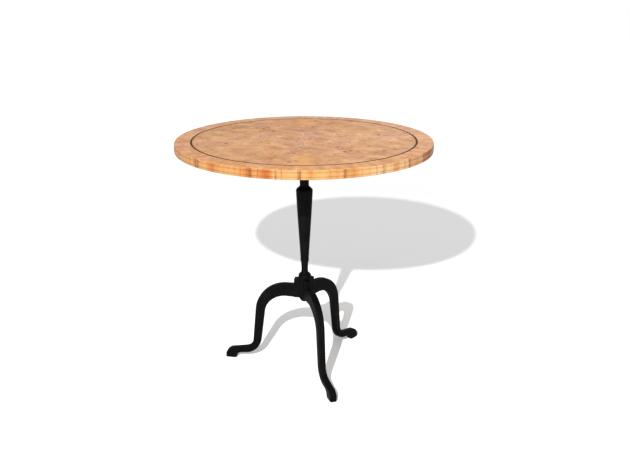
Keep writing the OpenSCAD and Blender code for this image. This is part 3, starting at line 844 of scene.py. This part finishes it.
def makeLegs():
    points = []
    faces = []
    rows = legStations()
    for row in rows:
        points.extend(legSection(row))
    count = len(points) // len(rows)
    for k in range(len(rows) - 1):
        here = k * count
        there = here + count
        for j in range(count):
            after = (j + 1) % count
            faces.append((here + j, there + j, there + after, here + after))
    faces.append(tuple(range(count)))
    faces.append(tuple(len(points) - 1 - j for j in range(count)))
    # shoulder block with a hollow corner where it meets the arm
    z0 = low("hub").z * 1000
    z1 = z0 + leg["blockTall"]
    arm = z0 + leg["armDeep"]
    out = leg["blockOut"]
    wide = leg["blockWide"] / 2

    def prism(outline, halfWide):
        start = len(points)
        points.extend([(x, -halfWide, z) for x, z in outline] + [(x, halfWide, z) for x, z in outline])
        n = len(outline)
        faces.append(tuple(start + k for k in range(n)))
        faces.append(tuple(start + 2 * n - 1 - k for k in range(n)))
        for k in range(n):
            after = (k + 1) % n
            faces.append((start + k, start + after, start + n + after, start + n + k))
    prism([(12, z0), (out, z0), (out, z1), (12, z1)], wide)
    r = leg["fillet"]
    hollow = []
    for degrees in range(0, 91, 9):
        angle = math.radians(degrees)
        hollow.append((out + r - r * math.sin(angle), arm + r - r * math.cos(angle)))
    prism([(out - 3, arm - 4), (out + r, arm - 4)] + hollow + [(out - 3, arm + r)], leg["width"] / 2 - 1.2)
    rough = shell("legRough", [Vector(p) / 1000 for p in points], faces, finishes["iron"])

    drum = millimetres([(0, 180), (leg["drum"], 180), (leg["drum"], 360), (0, 360)])
    cutter = bpy.data.objects.new("drumCutter", lathe("drumCutter", drum, finishes["iron"], 0.0001, 96))
    bpy.context.scene.collection.objects.link(cutter)

    def cast(carrier):
        remesh = carrier.modifiers.new("remesh", "REMESH")
        remesh.mode = "VOXEL"
        remesh.voxel_size = leg["voxel"] / 1000
        soften = carrier.modifiers.new("soften", "SMOOTH")
        soften.factor = 0.5
        soften.iterations = 5
        cut = carrier.modifiers.new("cut", "BOOLEAN")
        cut.operation = "DIFFERENCE"
        cut.object = cutter
        cut.solver = "EXACT"
    mesh = evaluated("castLeg", rough, cast)
    bpy.data.objects.remove(cutter)
    mesh.materials.clear()
    mesh.materials.append(finishes["iron"])
    smoothed(mesh, 50)
    print("leg mesh:", len(mesh.polygons), "faces")
    for nodeName, turn in zip(("leg_front", "leg_right", "leg_left"), leg["turns"]):
        copy = mesh.copy()
        copy.transform(Matrix.Rotation(math.radians(turn), 4, "Z"))
        addPiece("cast" + nodeName.title().replace("_", ""), copy, "base", "black_iron", nodeName)


makeLegs()
print("legs done")


# ---------- screws ----------

screws = {
    "bearer_screws": {
        "radius": 0.0024, "length": 0.034, "lean": 0, "seed": 4,
        "body": "top", "finish": "brass",
    },
    "bolt_plate_screws": {
        "radius": 0.0016, "length": 0.014, "lean": 0, "seed": 7,
        "body": "top", "finish": "brass",
    },
    "keep_screws": {
        "radius": 0.0016, "length": 0.014, "lean": -90, "seed": 2,
        "body": "base", "finish": "brass",
    },
    "flange_screws": {
        "radius": 0.0024, "length": 0.026, "lean": 0, "seed": 5,
        "body": "base", "finish": "steel",
    },
}


def screwPlaces(nodeName, facing):
    # one point per screw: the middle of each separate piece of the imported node, on its head's face
    form = bmesh.new()
    form.from_mesh(nodes[nodeName].data)
    bmesh.ops.remove_doubles(form, verts=form.verts, dist=2e-6)
    left = set(form.verts)
    places = []
    while left:
        stack = [left.pop()]
        group = list(stack)
        while stack:
            for edge in stack.pop().link_edges:
                for vert in edge.verts:
                    if vert in left:
                        left.remove(vert)
                        stack.append(vert)
                        group.append(vert)
        lowest = Vector([min(v.co[k] for v in group) for k in range(3)])
        highest = Vector([max(v.co[k] for v in group) for k in range(3)])
        middle = (lowest + highest) / 2
        middle[facing] = lowest[facing]
        places.append(middle)
    form.free()
    return places


def makeScrews(nodeName, spec):
    facing = 1 if spec["lean"] else 2
    inputs = {
        "Radius": ("NodeSocketFloat", spec["radius"]), "Length": ("NodeSocketFloat", spec["length"]),
        "Seed": ("NodeSocketInt", spec["seed"])}
    tree, source, target = newTree(nodeName.replace("_", "") + "Rule", inputs)
    r = source["Radius"]
    # countersunk head, cut with a slot
    head = addNode(tree, "GeometryNodeMeshCone")
    head.inputs["Vertices"].default_value = 40
    feed(tree, head.inputs["Radius Bottom"], maths(tree, "MULTIPLY", r, 1.98))
    feed(tree, head.inputs["Radius Top"], r)
    feed(tree, head.inputs["Depth"], r)
    slotBox = addNode(tree, "GeometryNodeMeshCube")
    size = addNode(tree, "ShaderNodeCombineXYZ")
    feed(tree, size.inputs["X"], maths(tree, "MULTIPLY", r, 6))
    feed(tree, size.inputs["Y"], maths(tree, "MULTIPLY", r, 0.36))
    feed(tree, size.inputs["Z"], maths(tree, "MULTIPLY", r, 0.9))
    tree.links.new(size.outputs[0], slotBox.inputs["Size"])
    cut = addNode(tree, "GeometryNodeMeshBoolean", operation="DIFFERENCE")
    tree.links.new(head.outputs["Mesh"], cut.inputs["Mesh 1"])
    tree.links.new(slotBox.outputs["Mesh"], cut.inputs["Mesh 2"])
    # shank and point
    shank = addNode(tree, "GeometryNodeMeshCone")
    shank.inputs["Vertices"].default_value = 32
    feed(tree, shank.inputs["Radius Bottom"], maths(tree, "MULTIPLY", r, 0.98))
    feed(tree, shank.inputs["Radius Top"], maths(tree, "MULTIPLY", r, 0.2))
    feed(tree, shank.inputs["Depth"], maths(tree, "SUBTRACT", source["Length"], r))
    lift = addNode(tree, "ShaderNodeCombineXYZ")
    feed(tree, lift.inputs["Z"], maths(tree, "MULTIPLY", r, 0.9))
    shift = addNode(tree, "GeometryNodeTransform")
    tree.links.new(shank.outputs["Mesh"], shift.inputs["Geometry"])
    tree.links.new(lift.outputs[0], shift.inputs["Translation"])
    whole = addNode(tree, "GeometryNodeJoinGeometry")
    tree.links.new(shift.outputs["Geometry"], whole.inputs["Geometry"])
    tree.links.new(cut.outputs["Mesh"], whole.inputs["Geometry"])
    # each driven home at its own turn
    turn = addNode(tree, "FunctionNodeRandomValue", data_type="FLOAT_VECTOR")
    turn.inputs["Min"].default_value = (0, 0, 0)
    turn.inputs["Max"].default_value = (0, 0, math.pi)
    tree.links.new(source["Seed"], turn.inputs["Seed"])
    lean = addNode(tree, "FunctionNodeEulerToRotation")
    lean.inputs["Euler"].default_value = (math.radians(spec["lean"]), 0, 0)
    spin = addNode(tree, "FunctionNodeEulerToRotation")
    tree.links.new(turn.outputs["Value"], spin.inputs["Euler"])
    both = addNode(tree, "FunctionNodeRotateRotation", rotation_space="LOCAL")
    tree.links.new(lean.outputs["Rotation"], both.inputs["Rotation"])
    tree.links.new(spin.outputs["Rotation"], both.inputs["Rotate By"])
    planted = addNode(tree, "GeometryNodeInstanceOnPoints")
    tree.links.new(source["Geometry"], planted.inputs["Points"])
    tree.links.new(whole.outputs["Geometry"], planted.inputs["Instance"])
    tree.links.new(both.outputs["Rotation"], planted.inputs["Rotation"])
    finishTree(tree, planted.outputs["Instances"], target, finishes[spec["finish"]])
    places = screwPlaces(nodeName, facing)
    mesh = grown(nodeName.replace("_", "") + "Set", pointMesh("places", places), tree, inputs)
    print(nodeName, len(places), "screws")
    addPiece(nodeName.split("_")[0] + "ScrewSet", smoothed(mesh, 30), spec["body"], spec["finish"], nodeName)


for nodeName, spec in screws.items():
    makeScrews(nodeName, spec)
print("screws done")


# ---------- eased hardware and timber ----------

eases = [
    ("headBlock", "head_block", 0.0014, "block", "base", "bearer_wood"),
    ("bearerLeft", "bearer_left", 0.0014, "bearer", "top", "bearer_wood"),
    ("bearerRight", "bearer_right", 0.0014, "bearer", "top", "bearer_wood"),
    ("hubDrum", "hub", 0.0006, "iron", "base", "black_iron"),
    ("headFlange", "head_flange", 0.0007, "iron", "base", "black_iron"),
    ("boltPlate", "bolt_plate", 0.0004, "brass", "top", "brass"),
    ("boltKeepers", "bolt_keepers", 0.0006, "brass", "top", "brass"),
    ("keepPlate", "keep_plate", 0.0003, "brass", "base", "brass"),
    ("rodNut", "rod_nut", 0.0005, "steel", "base", "steel"),
]
for name, nodeName, width, finish, body, slotName in eases:
    softened(name, nodeName, width, finishes[finish], body, slotName)
print("eased pieces done")


# ---------- studio ----------

studio = {
    "floorSize": 60, "floorNear": 0.685, "floorFar": 0.97, "worldLight": 1.03,
    # painted light and shade on the floor: darker near the table, paler far off, in place of the lamp's
    # fall-off
    "paintedShadeCentre": (0.3, 1.1, 0), "paintedShadeReach": 0.9, "paintedLightReach": 2.4,
    "lampAt": (-0.725, -3.353, 2.49), "lampPower": 1480, "lampSize": 0.035,
}


def makeStudio():
    world = bpy.data.worlds.new("softRoom")
    bpy.context.scene.world = world
    world.use_nodes = True
    sky = world.node_tree.nodes["Background"]
    sky.inputs["Color"].default_value = (1, 1, 1, 1)
    sky.inputs["Strength"].default_value = studio["worldLight"]
    half = studio["floorSize"] / 2
    corners = [(-half, -half, 0), (half, -half, 0), (half, half, 0), (-half, half, 0)]
    mesh = bpy.data.meshes.new("floor")
    mesh.from_pydata(corners, [], [(0, 1, 2, 3)])
    floor = bpy.data.objects.new("floor", mesh)
    bpy.context.scene.collection.objects.link(floor)
    material, tree, surface = startMaterial("paleFloor", 0.9, 0.0)
    # painted light and shade: the floor's colour is darker round the table and paler far off, standing in
    # for the lamp's light falling off with distance
    reach = addNode(tree, "ShaderNodeVectorMath", operation="LENGTH")
    feed(tree, reach.inputs[0], place(tree, shift=tuple(-along for along in studio["paintedShadeCentre"])))
    tone = spread(tree, reach.outputs["Value"], studio["paintedShadeReach"], studio["paintedLightReach"],
                  studio["floorNear"], studio["floorFar"])
    grey = addNode(tree, "ShaderNodeCombineColor")
    for channel in grey.inputs:
        feed(tree, channel, tone)
    feed(tree, surface.inputs["Base Color"], grey.outputs[0])
    mesh.materials.append(material)
    lamp = bpy.data.lights.new("keyLamp", "POINT")
    lamp.energy = studio["lampPower"]
    lamp.shadow_soft_size = studio["lampSize"]
    key = bpy.data.objects.new("keyLamp", lamp)
    key.location = studio["lampAt"]
    bpy.context.scene.collection.objects.link(key)
    bpy.context.scene.view_settings.view_transform = "Standard"


eye = {"at": (0, -2.2733, 1.2143), "pitch": 18.89, "turn": 0.81, "lens": 44.51}


def makeCamera():
    data = bpy.data.cameras.new("camera")
    data.sensor_width = 36
    data.lens = eye["lens"]
    data.clip_end = 200
    camera = bpy.data.objects.new("camera", data)
    camera.location = eye["at"]
    camera.rotation_euler = (math.radians(90 - eye["pitch"]), 0, math.radians(-eye["turn"]))
    bpy.context.scene.collection.objects.link(camera)
    bpy.context.scene.camera = camera


makeStudio()
makeCamera()
print("studio and camera set")
